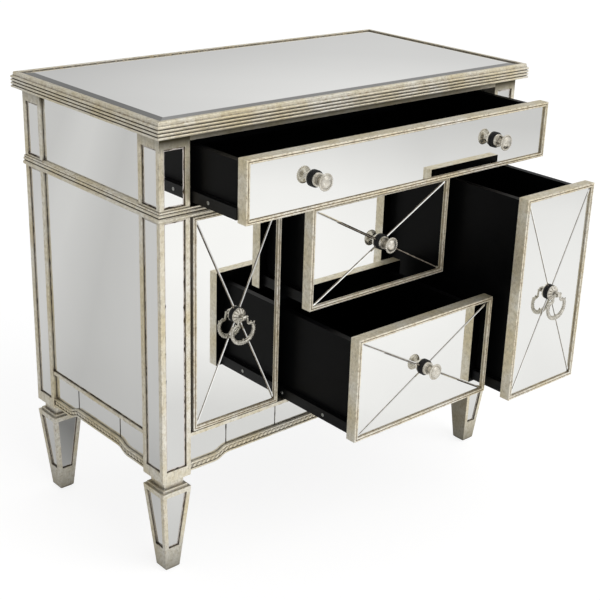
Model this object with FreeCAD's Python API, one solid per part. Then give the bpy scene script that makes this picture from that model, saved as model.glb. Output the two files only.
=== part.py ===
import FreeCAD, Part
import math
import os

# A mirrored chest of drawers in antique silver leaf: a straight-sided case on tapered feet, with one wide
# drawer over two tall outer drawers and two short middle drawers.
# Millimetres. X runs along the front to the right, Y from the front to the back, Z up.
# Each drawer stands open by its rest value. The pieces are worked out from the middle of the case, and then
# moved back so that the origin is on the floor under the middle of the whole chest as it stands.

# Case
overall_height = 864.0
case_width = 882.0
case_depth = 438.0
post_size = 62.0
board = 15.0
back_board = 9.0
back_inset = 3.0
apron_height = 83.2
top_rail_height = 15.1
top_rail_depth = 18.0

# Top
top_thickness = 28.0
ledge_thickness = 6.0
ledge_round = 2.0
front_overhang = 16.2
side_overhang = 11.3
back_overhang = 10.0
reed_count = 4
reed_depth = 2.6
reed_step = 3.7
rim_width = 8.0
moulding_width = 60.0
top_glass = 5.0
top_glass_drop = 1.0
top_bevel = 20.0
top_bevel_depth = 1.6

# Belt moulding round the case
belt_height = 18.0
belt_base = 1.0
belt_reeds = 2

# Glass in the posts, the sides, the aprons and the drawer fronts
glass = 4.0
glass_reveal = 1.0
glass_play = 0.25
panel_recess = 5.0

# Sunk panels in the posts
post_outer_stile = 9.5
post_inner_stile = 9.4
post_top_rail = 24.0
post_bottom_rail = 20.0
post_belt_margin = 3.0

# Feet
foot_height = 175.0
foot_top = 63.0
foot_bottom = 31.0
foot_chamfer = 4.0
neck_height = 23.0
neck_size = 42.0
neck_step_size = 53.0
neck_step_height = 5.0
foot_stile = 8.5
foot_top_rail = 10.0
toe_height = 50.0
bolt_radius = 4.0
bolt_play = 0.05
bolt_depth = 40.0

# Aprons
apron_lift = 6.0
ogee_start = 54.0
ogee_run = 36.0
ogee_rise = 10.0
trim_height = 16.5
trim_recess = 1.0
cap_height = 7.0
cap_recess = 2.0
end_tile = 85.0
front_tiles = 5
side_tiles = 1
tile_gap = 1.5

# Drawer fronts
front_thickness = 21.7
front_side_gap = 6.0
front_gap = 3.0
drawer_gap = 2.4
middle_gap = 10.4
front_stop_gap = 0.5
middle_front_width = 348.4
top_front_height = 108.2
middle_difference = 3.9
lip = 7.5
pane_gap = 0.5
cross_bevel = 2.2
cross_bevel_depth = 1.2

# Drawer boxes and runners
box_board = 12.0
box_bottom = 6.0
box_bottom_lift = 8.0
box_back_gap = 24.3
box_lift = 4.8
top_box_drop = 8.5
middle_box_drop = 20.0
tall_box_drop = 12.0
runner_room = 13.0
rail_height = 20.0
rail_width = 10.0
runner_play = 0.3
channel_wall = 1.5
channel_depth = 11.0

# How far each drawer stands open at rest
top_rest = 141.0
upper_middle_rest = 79.0
lower_middle_rest = 210.0
left_rest = 0.0
right_rest = 269.0

# Knobs: a rubber washer, a dished collar, a neck and a domed head, on a screw through the front
knob_spacing = 452.0
washer_radius = 14.8
washer_thickness = 4.0
collar_radius = 12.0
collar_height = 5.0
dish_radius = 8.6
dish_depth = 2.0
neck_radius = 5.5
knob_radius = 16.0
knob_back = 21.0
knob_rim = 26.0
knob_length = 31.0
screw_radius = 2.5
screw_head_radius = 4.5
screw_head_height = 2.5
screw_play = 0.3

# Ring pulls: a domed rosette with an eye, and a ring that hangs through the eye
rosette_radius = 14.5
rosette_edge = 2.0
rosette_height = 6.0
eye_stand = 16.0
eye_post_radius = 3.2
eye_radius = 5.2
eye_width = 7.0
pin_radius = 2.6
pin_play = 0.08
ring_radius = 24.5
ring_tube = 3.2
ring_gap = 13.0

# Levels and planes that follow from the sizes above
half_width = case_width / 2
half_depth = case_depth / 2
post_bottom = foot_height + neck_height
apron_top = post_bottom + apron_height
apron_bottom = post_bottom + apron_lift
top_underside = overall_height - top_thickness
top_front_top = top_underside - top_rail_height - drawer_gap
top_front_bottom = top_front_top - top_front_height
belt_top = top_front_bottom - drawer_gap
belt_bottom = belt_top - belt_height
belt_projection = belt_base + belt_height / belt_reeds / 2
lower_front_bottom = apron_top + drawer_gap
lower_front_top = belt_bottom - drawer_gap
middle_room = lower_front_top - lower_front_bottom - middle_gap
lower_middle_top = lower_front_bottom + (middle_room + middle_difference) / 2
upper_middle_bottom = lower_middle_top + middle_gap
post_inner_x = half_width - post_size
post_inner_y = half_depth - post_size
post_centre_x = half_width - post_size / 2
post_centre_y = half_depth - post_size / 2
front_half_width = post_inner_x - front_side_gap
middle_half_width = middle_front_width / 2
tall_inner_x = middle_half_width + front_gap
divider_inner_x = middle_half_width + front_gap / 2 - board / 2
divider_outer_x = divider_inner_x + board
shelf_middle_z = (upper_middle_bottom + lower_middle_top) / 2
front_y = -half_depth
front_back_y = front_y + front_thickness
inside_front_y = front_back_y + front_stop_gap
back_y = half_depth - back_inset
inside_back_y = back_y - back_board
panel_outer_x = half_width - panel_recess - glass
panel_inner_x = panel_outer_x - board
box_back_y = inside_back_y - box_back_gap
pocket_depth = glass + glass_reveal
pull_plane_y = front_y + glass_reveal

# How far the chest reaches in front of and behind the middle of its case, drawers and pulls included
knobs_reach = max(top_rest, upper_middle_rest, lower_middle_rest) + knob_length
rings_reach = max(left_rest, right_rest) + eye_stand + eye_radius
front_reach = max(knobs_reach, rings_reach) - pull_plane_y
back_reach = half_depth + back_overhang + reed_step
case_shift = (front_reach - back_reach) / 2


def vec(x, y, z):
    return FreeCAD.Vector(x, y, z)


def box(x0, x1, y0, y1, z0, z1):
    """A block between two corners."""
    low_x, low_y, low_z = min(x0, x1), min(y0, y1), min(z0, z1)
    return Part.makeBox(abs(x1 - x0), abs(y1 - y0), abs(z1 - z0), vec(low_x, low_y, low_z))


def ring_wire(points):
    """A closed wire of straight edges."""
    return Part.makePolygon(points + points[:1])


def face_of(start, steps, place):
    """A flat face whose outline starts at start. A step is an end point, or a point on the way and an end
    point for a round stretch. place puts a flat point in space."""
    edges = []
    here = start
    for step in steps:
        end = step[-1]
        if len(step) == 1:
            edges.append(Part.LineSegment(place(*here), place(*end)).toShape())
        else:
            edges.append(Part.Arc(place(*here), place(*step[0]), place(*end)).toShape())
        here = end
    return Part.Face(Part.Wire(edges))


def flat_prism(points, z0, z1):
    """An upright prism over a plan given as (x, y) points."""
    wire = ring_wire([vec(x, y, z0) for x, y in points])
    return Part.Face(wire).extrude(vec(0, 0, z1 - z0))


def join(first, *others):
    """One solid out of pieces that touch or overlap."""
    return first.fuse(list(others)).removeSplitter()


def write(node, solids):
    """Writes one node, which is a single solid or a group of separate ones."""
    shape = solids[0] if len(solids) == 1 else Part.makeCompound(solids)
    shape.translate(vec(0, case_shift, 0))
    shape.exportStep(os.path.join("parts", node + ".step"))


def reeds(outward, low, height, count, depth):
    """The steps of a stack of half-round reeds, going up from outward, low."""
    steps = []
    each = height / count
    for index in range(count):
        z = low + index * each
        steps.append(((outward + depth, z + each / 2), (outward, z + each)))
    return steps


def inset(points, amounts):
    """A convex flat polygon, turning to the left, with each edge moved inwards by its own amount."""
    lines = []
    for index, (x0, y0) in enumerate(points):
        x1, y1 = points[(index + 1) % len(points)]
        length = math.hypot(x1 - x0, y1 - y0)
        nx, ny = -(y1 - y0) / length, (x1 - x0) / length
        lines.append((nx, ny, nx * x0 + ny * y0 + amounts[index]))
    corners = []
    for index, (a1, b1, c1) in enumerate(lines):
        a0, b0, c0 = lines[index - 1]
        turn = a0 * b1 - a1 * b0
        corners.append(((c0 * b1 - c1 * b0) / turn, (a0 * c1 - a1 * c0) / turn))
    return corners


def bevelled_pane(points, bevels, thickness, bevel_depth, place):
    """Plate glass over a flat outline, its outer edges ground away by bevels. place takes a flat point and a
    height above the glass's back."""
    top = inset(points, bevels)
    levels = [(points, 0), (points, thickness - bevel_depth), (top, thickness)]
    wires = [ring_wire([place(a, b, height) for a, b in level]) for level, height in levels]
    return Part.makeLoft(wires, True, True)


# Top

def top_corner(offset):
    """The low and high plan corners of the top, taken in by offset from the reeds' outer line."""
    out_x = half_width + side_overhang + reed_step - offset
    out_front = -half_depth - front_overhang - reed_step + offset
    out_back = half_depth + back_overhang + reed_step - offset
    return -out_x, out_front, out_x, out_back


def top_moulding():
    """Four mitred rails: a ledge over a band of reeds, with a rebate for the glass."""
    glass_seat = overall_height - top_glass_drop - top_glass
    ledge_bottom = overall_height - ledge_thickness
    rim_inner = -reed_step - rim_width
    steps = [((-reed_depth, top_underside),)]
    steps += reeds(-reed_depth, top_underside, ledge_bottom - top_underside, reed_count, reed_depth)
    bow = ledge_round * (1 - math.sqrt(0.5))
    steps += [
        ((-reed_step, ledge_bottom),),
        ((-reed_step, overall_height - ledge_round),),
        ((-reed_step - bow, overall_height - bow), (-reed_step - ledge_round, overall_height)),
        ((rim_inner, overall_height),),
        ((rim_inner, glass_seat),),
        ((-moulding_width, glass_seat),),
        ((-moulding_width, top_underside),),
    ]
    x0, y0, x1, y1 = top_corner(0)
    inner_x0, inner_y0, inner_x1, inner_y1 = top_corner(moulding_width)
    outer = [(x0, y0), (x1, y0), (x1, y1), (x0, y1)]
    inner = [(inner_x0, inner_y0), (inner_x1, inner_y0), (inner_x1, inner_y1), (inner_x0, inner_y1)]
    rails = []
    for index in range(len(outer)):
        following = (index + 1) % len(outer)
        start = vec(*outer[index], 0)
        run = vec(*outer[following], 0) - start
        outward = vec(run.y, -run.x, 0).normalize()

        def place(u, z):
            return start + outward * u + vec(0, 0, z)

        bar = face_of((-moulding_width, top_underside), steps, place).extrude(run)
        corners = [outer[index], outer[following], inner[following], inner[index]]
        rails.append(bar.common(flat_prism(corners, top_underside, overall_height)))
    return rails


def top_board():
    """The board that fills the moulding and carries the glass."""
    x0, y0, x1, y1 = top_corner(moulding_width)
    return box(x0, x1, y0, y1, top_underside, overall_height - top_glass_drop - top_glass)


def top_mirror():
    """The bevelled glass inside the rim."""
    x0, y0, x1, y1 = top_corner(reed_step + rim_width + glass_play)
    seat = overall_height - top_glass_drop - top_glass
    outline = [(x0, y0), (x1, y0), (x1, y1), (x0, y1)]
    bevels = [top_bevel] * len(outline)
    return bevelled_pane(outline, bevels, top_glass, top_bevel_depth, lambda a, b, h: vec(a, b, seat + h))


# Posts

def post_panels():
    """The heights of the sunk panels in a post, below and above the belt."""
    lower = (post_bottom + post_bottom_rail, belt_bottom - post_belt_margin)
    upper = (belt_top + post_belt_margin, top_underside - post_top_rail)
    return [lower, upper]


def post_sunk(side_x, side_y, z0, z1, on_front, play, depth):
    """A block sunk into a post's front or outer side face, from the face inwards by depth[0] to depth[1]."""
    outer = post_outer_stile + play
    inner = post_size - post_inner_stile - play
    if on_front:
        xs = [side_x * (half_width - outer), side_x * (half_width - inner)]
        ys = [front_y + depth[0], front_y + depth[1]]
    else:
        xs = [side_x * (half_width - depth[0]), side_x * (half_width - depth[1])]
        ys = [side_y * (half_depth - outer), side_y * (half_depth - inner)]
    return box(*xs, *ys, z0 + play, z1 - play)


def post_faces(side_y):
    """A front post shows its front and its outer side, a back post only its outer side."""
    return [True, False] if side_y < 0 else [False]


def post(side_x, side_y):
    """A square corner post with its sunk panels and the hole for the foot bolt."""
    xs = [side_x * half_width, side_x * post_inner_x]
    ys = [side_y * half_depth, side_y * post_inner_y]
    solid = box(*xs, *ys, post_bottom, top_underside)
    for z0, z1 in post_panels():
        for on_front in post_faces(side_y):
            solid = solid.cut(post_sunk(side_x, side_y, z0, z1, on_front, 0, (0, pocket_depth)))
    return solid.cut(bolt(side_x, side_y, bolt_play))


def post_strips(side_x, side_y):
    """The mirror strips in one post's sunk panels."""
    strips = []
    for z0, z1 in post_panels():
        for on_front in post_faces(side_y):
            depth = (glass_reveal, pocket_depth)
            strips.append(post_sunk(side_x, side_y, z0, z1, on_front, glass_play, depth))
    return strips


# Feet

def foot_half(z):
    """Half the foot's width at a height above its chamfer."""
    share = (z - foot_chamfer) / (foot_height - foot_chamfer)
    return (foot_bottom + (foot_top - foot_bottom) * share) / 2


def foot_place(side_x, on_front):
    """Puts a point of a foot's tapered face in space: across the face, up, and inwards from it."""
    lean = math.atan2((foot_top - foot_bottom) / 2, foot_height - foot_chamfer)

    def place(across, z, inwards):
        out = foot_half(z) - inwards * math.cos(lean)
        up = z + inwards * math.sin(lean)
        return vec(across, -out, up) if on_front else vec(side_x * out, across, up)

    return place


def foot_panel(side_x, on_front, play, low, high):
    """A tapered slab in a foot's face, from low to high inwards from the face."""
    place = foot_place(side_x, on_front)
    z0 = toe_height + play
    z1 = foot_height - foot_top_rail - play
    outline = []
    for z, sign in [(z0, -1), (z0, 1), (z1, 1), (z1, -1)]:
        outline.append((sign * (foot_half(z) - foot_stile - play), z))
    wires = [ring_wire([place(a, z, depth) for a, z in outline]) for depth in (low, high)]
    return Part.makeLoft(wires, True, True)


def square(size, z):
    half = size / 2
    return ring_wire([vec(-half, -half, z), vec(half, -half, z), vec(half, half, z), vec(-half, half, z)])


def foot(side_x, side_y):
    """A tapered foot with its neck, sunk panels on the front and outer faces, and the bolt's hole."""
    levels = [(foot_bottom - 2 * foot_chamfer, 0), (foot_bottom, foot_chamfer), (foot_top, foot_height)]
    taper = Part.makeLoft([square(size, z) for size, z in levels], True, True)
    step_top = foot_height + neck_step_height
    step_half = neck_step_size / 2
    neck_half = neck_size / 2
    step = box(-step_half, step_half, -step_half, step_half, foot_height, step_top)
    neck = box(-neck_half, neck_half, -neck_half, neck_half, foot_height, post_bottom)
    solid = join(taper, step, neck)
    for on_front in (True, False):
        solid = solid.cut(foot_panel(side_x, on_front, 0, -glass_reveal, pocket_depth))
    solid.translate(vec(side_x * post_centre_x, side_y * post_centre_y, 0))
    return solid.cut(bolt(side_x, side_y, bolt_play))


def foot_mirrors(side_x, side_y):
    """The two mirror panels of one foot."""
    panels = []
    for on_front in (True, False):
        panel = foot_panel(side_x, on_front, glass_play, glass_reveal, pocket_depth)
        panel.translate(vec(side_x * post_centre_x, side_y * post_centre_y, 0))
        panels.append(panel)
    return panels


def bolt(side_x, side_y, play):
    """The bolt between a foot and its post, or its hole where play is given."""
    foot_of_bolt = vec(side_x * post_centre_x, side_y * post_centre_y, post_bottom - bolt_depth)
    return Part.makeCylinder(bolt_radius + play, 2 * bolt_depth, foot_of_bolt)


# Sides and belt

def side_panel(side_x):
    """The board between the front and the back post."""
    xs = [side_x * panel_outer_x, side_x * panel_inner_x]
    return box(*xs, -post_inner_y, post_inner_y, apron_top, top_underside)


def side_mirrors(side_x):
    """The panes on the side board, below and above the belt."""
    xs = [side_x * panel_outer_x, side_x * (panel_outer_x + glass)]
    reach = post_inner_y - glass_play
    spans = [(apron_top, belt_bottom), (belt_top, top_underside)]
    return [box(*xs, -reach, reach, z0 + glass_play, z1 - glass_play) for z0, z1 in spans]


def belt_bar(start, run, outward, plan):
    """A length of belt moulding, cut to a plan that mitres its corners."""
    depth = belt_projection - belt_base
    steps = [((belt_base, belt_bottom),)]
    steps += reeds(belt_base, belt_bottom, belt_height, belt_reeds, depth)
    steps += [((0, belt_top),), ((0, belt_bottom),)]
    bar = face_of((0, belt_bottom), steps, lambda u, z: start + outward * u + vec(0, 0, z)).extrude(run)
    return bar.common(flat_prism(plan, belt_bottom, belt_top))


def belt_moulding():
    """The belt along the front and both sides. On the sides a tongue fills the gap between the panes."""
    out = belt_projection
    x1, y1 = half_width, half_depth
    plan = [(-x1, -y1), (-x1 - out, -y1 - out), (x1 + out, -y1 - out), (x1, -y1)]
    bars = [belt_bar(vec(-x1 - out, -y1, 0), vec(2 * (x1 + out), 0, 0), vec(0, -1, 0), plan)]
    for side_x in (-1, 1):
        plan = [(x1, -y1), (x1 + out, -y1 - out), (x1 + out, y1), (x1, y1)]
        plan = [(side_x * x, y) for x, y in plan]
        start = vec(side_x * x1, -y1 - out, 0)
        bar = belt_bar(start, vec(0, 2 * y1 + out, 0), vec(side_x, 0, 0), plan)
        xs = [side_x * panel_outer_x, side_x * x1]
        bars.append(join(bar, box(*xs, -post_inner_y, post_inner_y, belt_bottom, belt_top)))
    return bars


# Aprons

def ogee(s, z, run, rise):
    """An S of two equal arcs, level at both ends."""
    radius = (run ** 2 + rise ** 2) / (4 * rise)
    half_turn = math.asin(run / 2 / radius) / 2
    step_s = radius * math.sin(half_turn)
    step_z = radius * (1 - math.cos(half_turn))
    middle = (s + run / 2, z + rise / 2)
    end = (s + run, z + rise)
    return [((s + step_s, z + step_z), middle), ((end[0] - step_s, end[1] - step_z), end)]


def apron_edge(half, low):
    """The apron's lower edge from its left end to its right end: level, up, level, down, level."""
    first = -half + ogee_start
    last = half - ogee_start
    high = low + ogee_rise
    steps = [((first, low),)]
    steps += ogee(first, low, ogee_run, ogee_rise)
    steps += [((last - ogee_run, high),)]
    steps += ogee(last - ogee_run, high, ogee_run, -ogee_rise)
    return steps + [((half, low),)]


def back_along(start, steps):
    """The same steps walked the other way."""
    ends = [start] + [step[-1] for step in steps]
    back = []
    for index in range(len(steps) - 1, -1, -1):
        back.append(steps[index][:-1] + (ends[index],))
    return back


def apron_parts(half, place_at, inwards, tiles):
    """An apron's board and cap, its mirror tiles and its trim. place_at puts a point along the apron and up
    in space at a depth behind the posts' faces, and inwards is the direction of that depth."""
    def slab(start, steps, depth, thickness):
        face = face_of(start, steps, lambda s, z: place_at(s, z, depth))
        return face.extrude(inwards * thickness)

    board_depth = panel_recess + glass
    trim_top = apron_bottom + trim_height
    tile_top = apron_top - cap_height
    low_edge = apron_edge(half, apron_bottom)
    high_edge = apron_edge(half, trim_top)
    low_start = (-half, apron_bottom)
    high_start = (-half, trim_top)
    over = [((half, tile_top),), ((-half, tile_top),)]
    panel = slab(low_start, low_edge + over + [(low_start,)], board_depth, board)
    band = [((half, trim_top),)] + back_along(high_start, high_edge) + [(low_start,)]
    trim = slab(low_start, low_edge + band, trim_recess, board_depth - trim_recess)
    cap_start = (-half, tile_top)
    cap_steps = [((half, tile_top),), ((half, apron_top),), ((-half, apron_top),), (cap_start,)]
    cap = slab(cap_start, cap_steps, cap_recess, board_depth + board - cap_recess)
    sheet = slab(high_start, high_edge + over + [(high_start,)], panel_recess, glass)
    seams = [-half, -half + end_tile]
    middle_tile = 2 * (half - end_tile) / tiles
    seams += [-half + end_tile + middle_tile * (index + 1) for index in range(tiles)]
    seams.append(half)
    tile_list = []
    for s0, s1 in zip(seams, seams[1:]):
        s0, s1 = s0 + tile_gap / 2, s1 - tile_gap / 2
        outline = [(s0, apron_bottom), (s1, apron_bottom), (s1, apron_top), (s0, apron_top)]
        wire = ring_wire([place_at(s, z, panel_recess) for s, z in outline])
        tile_list.append(sheet.common(Part.Face(wire).extrude(inwards * glass)))
    return [panel, cap], tile_list, trim


def front_apron():
    return apron_parts(post_inner_x, lambda s, z, d: vec(s, front_y + d, z), vec(0, 1, 0), front_tiles)


def side_apron(side_x):
    def place_at(s, z, d):
        return vec(side_x * (half_width - d), s, z)

    return apron_parts(post_inner_y, place_at, vec(-side_x, 0, 0), side_tiles)


# Rails, shelves and back inside the case

def clear_of_posts(solid):
    """Notches a board round the four posts."""
    for side_x in (-1, 1):
        for side_y in (-1, 1):
            xs = [side_x * half_width, side_x * post_inner_x]
            ys = [side_y * half_depth, side_y * post_inner_y]
            solid = solid.cut(box(*xs, *ys, 0, overall_height))
    return solid


def top_rail():
    zs = [top_underside - top_rail_height, top_underside]
    return box(-post_inner_x, post_inner_x, front_y, front_y + top_rail_depth, *zs)


def waist_panel():
    """The board behind the belt, between the wide drawer and the lower ones."""
    slab = box(-panel_inner_x, panel_inner_x, front_y, inside_back_y, belt_bottom, belt_top)
    return clear_of_posts(slab)


def bottom_panel():
    """The board under the lower drawers, inside the aprons."""
    apron_back = front_y + panel_recess + glass + board
    slab = box(-panel_inner_x, panel_inner_x, apron_back, inside_back_y, apron_top - board, apron_top)
    return clear_of_posts(slab)


def divider(side_x):
    xs = [side_x * divider_inner_x, side_x * divider_outer_x]
    return box(*xs, inside_front_y, inside_back_y, apron_top, belt_bottom)


def middle_shelf():
    zs = [shelf_middle_z - board / 2, shelf_middle_z + board / 2]
    return box(-divider_inner_x, divider_inner_x, inside_front_y, inside_back_y, *zs)


def back_panel():
    return box(-post_inner_x, post_inner_x, inside_back_y, back_y, apron_top - board, top_underside)


# Drawers

def opened(solid, rest):
    """A drawer's piece, drawn out by the drawer's rest value."""
    solid.translate(vec(0, -rest, 0))
    return solid


def drawer_front(x0, x1, z0, z1, screws):
    """A slab with a sunk face for the glass and holes for the screws of its pulls."""
    slab = box(x0, x1, front_y, front_back_y, z0, z1)
    solid = slab.cut(box(x0 + lip, x1 - lip, front_y, front_y + pocket_depth, z0 + lip, z1 - lip))
    for x, z in screws:
        solid = solid.cut(along_y(x, z, front_y, front_back_y, screw_radius + screw_play))
    return solid


def along_y(x, z, y0, y1, radius):
    """A round bar that runs from the front to the back."""
    return Part.makeCylinder(radius, y1 - y0, vec(x, y0, z), vec(0, 1, 0))


def glass_place(a, b, height):
    """Puts a point of a drawer's glass in space, with the height counted outwards from the glass's back."""
    return vec(a, front_y + pocket_depth - height, b)


def drawer_panes(x0, x1, z0, z1, crossed, screws):
    """One plain pane, or four bevelled triangles that meet in the middle of the front."""
    edge = lip + glass_play
    corners = [(x0 + edge, z0 + edge), (x1 - edge, z0 + edge), (x1 - edge, z1 - edge), (x0 + edge, z1 - edge)]
    panes = []
    if crossed:
        centre = ((x0 + x1) / 2, (z0 + z1) / 2)
        for index, corner in enumerate(corners):
            triangle = [corner, corners[(index + 1) % len(corners)], centre]
            outline = inset(triangle, [0, pane_gap / 2, pane_gap / 2])
            bevels = [0, cross_bevel, cross_bevel]
            panes.append(bevelled_pane(outline, bevels, glass, cross_bevel_depth, glass_place))
    else:
        wire = ring_wire([glass_place(a, b, 0) for a, b in corners])
        panes.append(Part.Face(wire).extrude(vec(0, -glass, 0)))
    for x, z in screws:
        hole = along_y(x, z, front_y, front_back_y, screw_radius + screw_play)
        panes = [pane.cut(hole) for pane in panes]
    return panes


def drawer_box(x0, x1, z0, z1):
    """The sides, the back and the bottom of a drawer's box, between its outer faces."""
    left = box(x0, x0 + box_board, front_back_y, box_back_y, z0, z1)
    right = box(x1 - box_board, x1, front_back_y, box_back_y, z0, z1)
    rear = box(x0 + box_board, x1 - box_board, box_back_y - box_board, box_back_y, z0, z1)
    floor = z0 + box_bottom_lift
    ys = [front_back_y, box_back_y - box_board]
    bottom = box(x0 + box_board, x1 - box_board, *ys, floor, floor + box_bottom)
    return [left, right, rear, bottom]


def drawer_rails(x0, x1, z0):
    """The rails along the lower edge of the box's sides."""
    ys = [front_back_y, box_back_y]
    return [
        box(x0 - rail_width, x0, *ys, z0, z0 + rail_height),
        box(x1, x1 + rail_width, *ys, z0, z0 + rail_height),
    ]


def case_channel(carrier_x, into, z0):
    """The channel that a rail runs in, fixed to a post or divider face. into is the way the channel opens."""
    low = z0 - runner_play
    high = z0 + rail_height + runner_play
    ys = [inside_front_y, inside_back_y]
    edge_x = carrier_x + into * channel_depth
    outer = box(carrier_x, edge_x, *ys, low - channel_wall, high + channel_wall)
    return outer.cut(box(carrier_x + into * channel_wall, edge_x, *ys, low, high))


# Pulls

def turned(start, steps, x, z, base_y):
    """A solid turned about a line that stands out of a front. Points are (radius, height off the base)."""
    face = face_of(start, steps, lambda r, h: vec(x + r, base_y - h, z))
    return face.revolve(vec(x, base_y, z), vec(0, 1, 0), 360)


def dome(radius, low, high):
    """The step that rounds a turned solid over, from its rim at low to its axis at high."""
    rise = high - low
    ball = (radius ** 2 + rise ** 2) / (2 * rise)
    half_turn = math.asin(radius / ball) / 2
    return (ball * math.sin(half_turn), high - ball * (1 - math.cos(half_turn))), (0, high)


def washer(x, z):
    disc = along_y(x, z, pull_plane_y - washer_thickness, pull_plane_y, washer_radius)
    return disc.cut(along_y(x, z, pull_plane_y - washer_thickness, pull_plane_y, screw_radius + screw_play))


def screw_steps():
    """The screw behind a pull, from its axis inside the drawer out to the pull's seat."""
    tail = pull_plane_y - washer_thickness - front_back_y
    return tail - screw_head_height, [
        ((screw_head_radius, tail - screw_head_height),),
        ((screw_head_radius, tail),),
        ((screw_radius, tail),),
        ((screw_radius, 0),),
    ]


def knob(x, z):
    """A dished collar, a neck and a domed head, with the screw that holds it."""
    tail, steps = screw_steps()
    head_back = knob_back - washer_thickness
    head_rim = knob_rim - washer_thickness
    head_end = knob_length - washer_thickness
    dish_floor = collar_height - dish_depth
    steps += [
        ((collar_radius, 0),),
        ((collar_radius, collar_height),),
        ((dish_radius, collar_height),),
        ((neck_radius, dish_floor),),
        ((neck_radius, head_back),),
        ((knob_radius, head_rim),),
        dome(knob_radius, head_rim, head_end),
        ((0, tail),),
    ]
    return turned((0, tail), steps, x, z, pull_plane_y - washer_thickness)


def rosette(x, z):
    """A domed disc with an eye for the ring, and the screw that holds it."""
    tail, steps = screw_steps()
    steps += [
        ((rosette_radius, 0),),
        ((rosette_radius, rosette_edge),),
        dome(rosette_radius, rosette_edge, rosette_height),
        ((0, tail),),
    ]
    seat_y = pull_plane_y - washer_thickness
    disc = turned((0, tail), steps, x, z, seat_y)
    eye_y = pull_plane_y - eye_stand
    stem = along_y(x, z, eye_y, seat_y - rosette_edge, eye_post_radius)
    barrel = across(x, eye_y, z, eye_width, eye_radius)
    return join(disc, stem, barrel).cut(across(x, eye_y, z, eye_width, pin_radius + pin_play))


def across(x, y, z, width, radius):
    """A round bar along X, centred on a point."""
    return Part.makeCylinder(radius, width, vec(x - width / 2, y, z), vec(1, 0, 0))


def pull_ring(x, z):
    """A ring that hangs from a straight pin through the eye."""
    y = pull_plane_y - eye_stand
    centre = vec(x, y, z - math.sqrt(ring_radius ** 2 - (ring_gap / 2) ** 2))
    open_angle = math.degrees(math.asin(ring_gap / 2 / ring_radius))
    section_at = vec(x + ring_gap / 2, y, z)
    tangent = vec(z - centre.z, 0, -ring_gap / 2)
    section = Part.Face(Part.Wire(Part.makeCircle(ring_tube, section_at, tangent)))
    hoop = section.revolve(centre, vec(0, 1, 0), 360 - 2 * open_angle)
    return join(hoop, across(x, y, z, ring_gap + ring_tube, pin_radius))


os.makedirs("parts", exist_ok=True)

write("top_board", [top_board()])
write("top_moulding", top_moulding())
write("top_mirror", [top_mirror()])

corners = {"front_left": (-1, -1), "front_right": (1, -1), "back_left": (-1, 1), "back_right": (1, 1)}
for corner_name, corner_sides in corners.items():
    write("post_" + corner_name, [post(*corner_sides)])
write("post_mirrors", [strip for sides in corners.values() for strip in post_strips(*sides)])
write("feet", [foot(*sides) for sides in corners.values()])
write("foot_mirrors", [panel for sides in corners.values() for panel in foot_mirrors(*sides)])
write("foot_bolts", [bolt(*sides, 0) for sides in corners.values()])

side_names = {"left": -1, "right": 1}
for side_name, side in side_names.items():
    write("side_panel_" + side_name, [side_panel(side)])
    write("divider_" + side_name, [divider(side)])
write("side_mirrors", side_mirrors(-1) + side_mirrors(1))
write("belt_moulding", belt_moulding())

aprons = {"front": front_apron(), "left": side_apron(-1), "right": side_apron(1)}
for apron_name, (boards, _, _) in aprons.items():
    write("apron_" + apron_name, boards)
write("apron_tiles", [tile for _, tiles, _ in aprons.values() for tile in tiles])
write("apron_trim", [trim for _, _, trim in aprons.values()])

write("top_rail", [top_rail()])
write("waist_panel", [waist_panel()])
write("bottom_panel", [bottom_panel()])
write("middle_shelf", [middle_shelf()])
write("back_panel", [back_panel()])

# Each drawer: the front's ends and heights, the faces that carry its runners, how far its box stays below
# the front's top edge, whether its glass is crossed, how far it stands open, and its pulls
lower_zs = (lower_front_bottom, lower_front_top)
drawers = {
    "top": {
        "xs": (-front_half_width, front_half_width), "zs": (top_front_bottom, top_front_top),
        "carriers": (-post_inner_x, post_inner_x), "drop": top_box_drop, "crossed": False,
        "rest": top_rest, "knob_xs": (-knob_spacing / 2, knob_spacing / 2),
    },
    "upper_middle": {
        "xs": (-middle_half_width, middle_half_width), "zs": (upper_middle_bottom, lower_front_top),
        "carriers": (-divider_inner_x, divider_inner_x), "drop": middle_box_drop, "crossed": True,
        "rest": upper_middle_rest, "knob_xs": (0,),
    },
    "lower_middle": {
        "xs": (-middle_half_width, middle_half_width), "zs": (lower_front_bottom, lower_middle_top),
        "carriers": (-divider_inner_x, divider_inner_x), "drop": middle_box_drop, "crossed": True,
        "rest": lower_middle_rest, "knob_xs": (0,),
    },
    "left": {
        "xs": (-front_half_width, -tall_inner_x), "zs": lower_zs,
        "carriers": (-post_inner_x, -divider_outer_x), "drop": tall_box_drop, "crossed": True,
        "rest": left_rest, "knob_xs": (),
    },
    "right": {
        "xs": (tall_inner_x, front_half_width), "zs": lower_zs,
        "carriers": (divider_outer_x, post_inner_x), "drop": tall_box_drop, "crossed": True,
        "rest": right_rest, "knob_xs": (),
    },
}

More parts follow.
